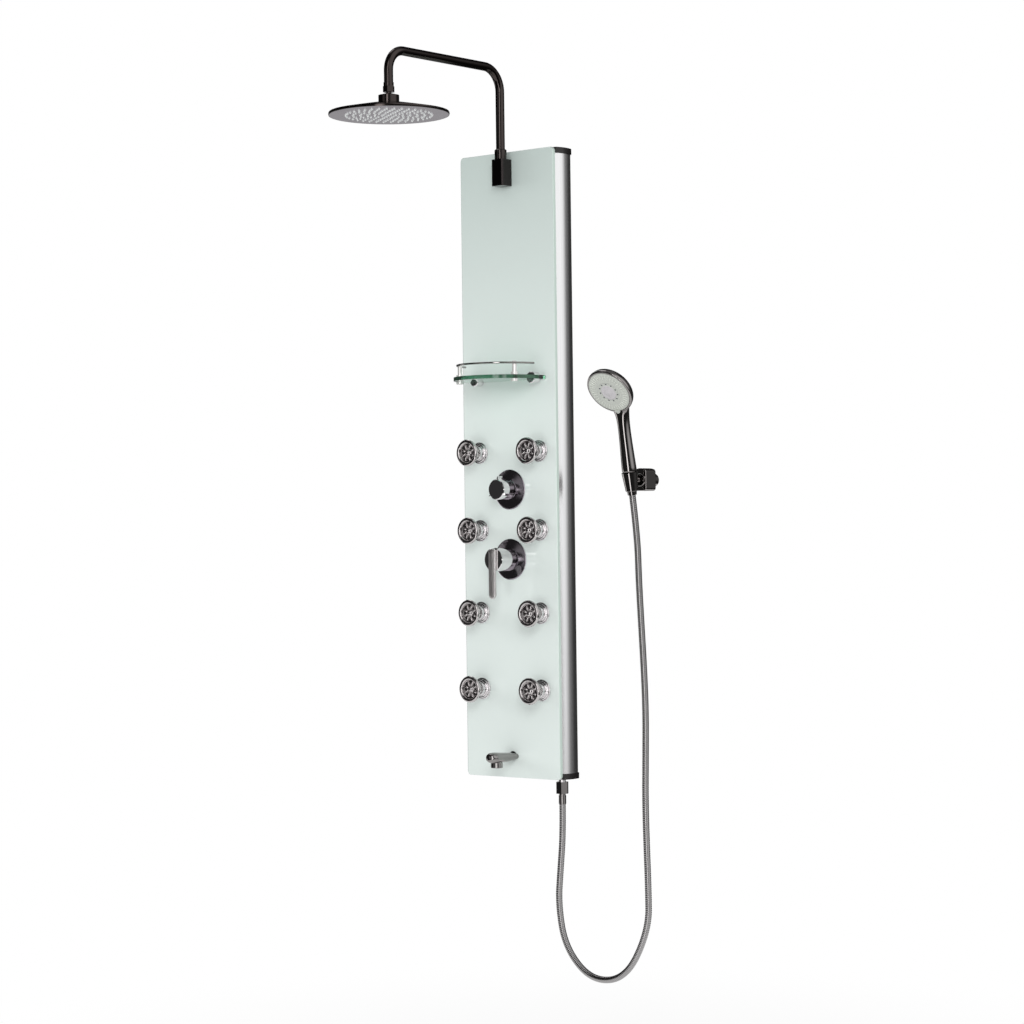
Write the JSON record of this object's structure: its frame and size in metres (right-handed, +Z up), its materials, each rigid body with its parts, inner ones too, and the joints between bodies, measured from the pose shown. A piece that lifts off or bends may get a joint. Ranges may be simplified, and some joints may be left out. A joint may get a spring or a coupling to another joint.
{
  "type": "shower panel column",
  "caption": "Wall-hung glass shower panel column with a rain head on a bent arm, a railed shelf, swivelling body jets, a diverter, a lever mixer, a tub spout and a hand shower on a hose.",
  "frame": {"origin": "centre of the pattern of four wall-screw holes, on the wall plane", "axes": "+X right when facing the panel, +Y into the wall, +Z up the wall"},
  "size_m": [0.5362, 0.554, 1.9604],
  "materials": {
    "glass": "gloss, pale green, back painted",
    "shelf_glass": "clear green, polished edge",
    "aluminium": "brushed",
    "dark_chrome": "polished black chrome",
    "chrome": "polished",
    "chrome_plastic": "chrome plated",
    "satin_chrome": "satin",
    "steel": "brushed",
    "hose_steel": "wound metal hose",
    "brass": "cast and machined",
    "white_plastic": "moulded",
    "silicone": "soft, pale",
    "face_plastic": "gloss",
    "head_face": "mirror polished sheet"
  },
  "bodies": {
    "panel": {"glass_panel": "glass", "shelf_glass": "shelf_glass", "side_profile_left": "aluminium", "side_profile_right": "aluminium", "end_caps": "dark_chrome", "end_plates": "steel", "wall_hangers": "steel", "cross_rails": "steel", "overhead_pipe": "steel", "jet_pipes": "steel", "branch_pipes": "steel", "lock_nuts": "brass", "diverter_valve": "brass", "mixer_valve": "brass", "hose_outlet": "brass", "arm_connector": "chrome", "arm_nut": "chrome", "shower_arm": "chrome", "swivel_ball": "chrome", "shelf_rail": "chrome", "shelf_posts": "chrome", "shelf_supports": "chrome", "diverter_escutcheon": "chrome", "mixer_escutcheon": "chrome", "tub_spout": "chrome", "spout_aerator": "chrome", "hose_nut": "chrome", "jet_bases": "chrome_plastic", "bracket_base": "chrome_plastic", "bracket_ring": "chrome_plastic", "shower_hose": "hose_steel"},
    "rain_seat": {"swivel_seat": "white_plastic"},
    "rain_head": {"swivel_hub": "chrome", "rain_head_shell": "chrome", "rain_head_face": "head_face", "rain_nozzles": "silicone"},
    "diverter_knob": {"diverter_knob": "chrome"},
    "mixer_hub": {"mixer_hub": "chrome"},
    "mixer_lever": {"mixer_lever": "satin_chrome"},
    "holder": {"bracket_holder": "chrome_plastic", "hand_shower_body": "chrome_plastic", "hose_cone_nut": "chrome"},
    "spray_face": {"hand_shower_face": "face_plastic"},
    "jet_seat_1": {"jet_seat_1": "white_plastic"},
    "jet_1": {"jet_head_1": "chrome_plastic"},
    "jet_seat_2": {"jet_seat_2": "white_plastic"},
    "jet_2": {"jet_head_2": "chrome_plastic"},
    "jet_seat_3": {"jet_seat_3": "white_plastic"},
    "jet_3": {"jet_head_3": "chrome_plastic"},
    "jet_seat_4": {"jet_seat_4": "white_plastic"},
    "jet_4": {"jet_head_4": "chrome_plastic"},
    "jet_seat_5": {"jet_seat_5": "white_plastic"},
    "jet_5": {"jet_head_5": "chrome_plastic"},
    "jet_seat_6": {"jet_seat_6": "white_plastic"},
    "jet_6": {"jet_head_6": "chrome_plastic"},
    "jet_seat_7": {"jet_seat_7": "white_plastic"},
    "jet_7": {"jet_head_7": "chrome_plastic"},
    "jet_seat_8": {"jet_seat_8": "white_plastic"},
    "jet_8": {"jet_head_8": "chrome_plastic"}
  },
  "joints": [
    {"name": "rain_head_tilt_x", "type": "hinge", "parent": "panel", "child": "rain_seat", "pos_m": [0, -0.429, 0.7515], "axis": [1, 0, 0], "range_deg": [-12, 12]},
    {"name": "rain_head_tilt_y", "type": "hinge", "parent": "rain_seat", "child": "rain_head", "pos_m": [0, -0.429, 0.7515], "axis": [0, 1, 0], "range_deg": [-12, 12]},
    {"name": "diverter_turn", "type": "hinge", "parent": "panel", "child": "diverter_knob", "pos_m": [0, -0.08, -0.054], "axis": [0, -1, 0], "range_deg": [-90, 180]},
    {"name": "mixer_temperature", "type": "hinge", "parent": "panel", "child": "mixer_hub", "pos_m": [0, -0.09, -0.2045], "axis": [0, -1, 0], "range_deg": [-50, 50]},
    {"name": "mixer_flow", "type": "hinge", "parent": "mixer_hub", "child": "mixer_lever", "pos_m": [0, -0.113, -0.188], "axis": [-1, 0, 0], "range_deg": [0, 25]},
    {"name": "bracket_tilt", "type": "hinge", "parent": "panel", "child": "holder", "pos_m": [0.3445, -0.035, -0.041], "axis": [1, 0, 0], "range_deg": [-12, 12], "deforming": ["shower_hose"]},
    {"name": "spray_face_turn", "type": "hinge", "parent": "holder", "child": "spray_face", "pos_m": [0.3445, -0.1473, 0.1382], "axis": [0, -0.7804, -0.6252], "range_deg": [-36, 36]},
    {"name": "jet_1_tilt", "type": "hinge", "parent": "panel", "child": "jet_seat_1", "pos_m": [-0.084, -0.07, 0.027], "axis": [1, 0, 0], "range_deg": [-15, 15]},
    {"name": "jet_1_turn", "type": "hinge", "parent": "jet_seat_1", "child": "jet_1", "pos_m": [-0.084, -0.07, 0.027], "axis": [0, 0, 1], "range_deg": [-15, 15]},
    {"name": "jet_2_tilt", "type": "hinge", "parent": "panel", "child": "jet_seat_2", "pos_m": [0.084, -0.07, 0.027], "axis": [1, 0, 0], "range_deg": [-15, 15]},
    {"name": "jet_2_turn", "type": "hinge", "parent": "jet_seat_2", "child": "jet_2", "pos_m": [0.084, -0.07, 0.027], "axis": [0, 0, 1], "range_deg": [-15, 15]},
    {"name": "jet_3_tilt", "type": "hinge", "parent": "panel", "child": "jet_seat_3", "pos_m": [-0.084, -0.07, -0.142], "axis": [1, 0, 0], "range_deg": [-15, 15]},
    {"name": "jet_3_turn", "type": "hinge", "parent": "jet_seat_3", "child": "jet_3", "pos_m": [-0.084, -0.07, -0.142], "axis": [0, 0, 1], "range_deg": [-15, 15]},
    {"name": "jet_4_tilt", "type": "hinge", "parent": "panel", "child": "jet_seat_4", "pos_m": [0.084, -0.07, -0.142], "axis": [1, 0, 0], "range_deg": [-15, 15]},
    {"name": "jet_4_turn", "type": "hinge", "parent": "jet_seat_4", "child": "jet_4", "pos_m": [0.084, -0.07, -0.142], "axis": [0, 0, 1], "range_deg": [-15, 15]},
    {"name": "jet_5_tilt", "type": "hinge", "parent": "panel", "child": "jet_seat_5", "pos_m": [-0.084, -0.07, -0.32], "axis": [1, 0, 0], "range_deg": [-15, 15]},
    {"name": "jet_5_turn", "type": "hinge", "parent": "jet_seat_5", "child": "jet_5", "pos_m": [-0.084, -0.07, -0.32], "axis": [0, 0, 1], "range_deg": [-15, 15]},
    {"name": "jet_6_tilt", "type": "hinge", "parent": "panel", "child": "jet_seat_6", "pos_m": [0.084, -0.07, -0.32], "axis": [1, 0, 0], "range_deg": [-15, 15]},
    {"name": "jet_6_turn", "type": "hinge", "parent": "jet_seat_6", "child": "jet_6", "pos_m": [0.084, -0.07, -0.32], "axis": [0, 0, 1], "range_deg": [-15, 15]},
    {"name": "jet_7_tilt", "type": "hinge", "parent": "panel", "child": "jet_seat_7", "pos_m": [-0.084, -0.07, -0.485], "axis": [1, 0, 0], "range_deg": [-15, 15]},
    {"name": "jet_7_turn", "type": "hinge", "parent": "jet_seat_7", "child": "jet_7", "pos_m": [-0.084, -0.07, -0.485], "axis": [0, 0, 1], "range_deg": [-15, 15]},
    {"name": "jet_8_tilt", "type": "hinge", "parent": "panel", "child": "jet_seat_8", "pos_m": [0.084, -0.07, -0.485], "axis": [1, 0, 0], "range_deg": [-15, 15]},
    {"name": "jet_8_turn", "type": "hinge", "parent": "jet_seat_8", "child": "jet_8", "pos_m": [0.084, -0.07, -0.485], "axis": [0, 0, 1], "range_deg": [-15, 15]}
  ]
}
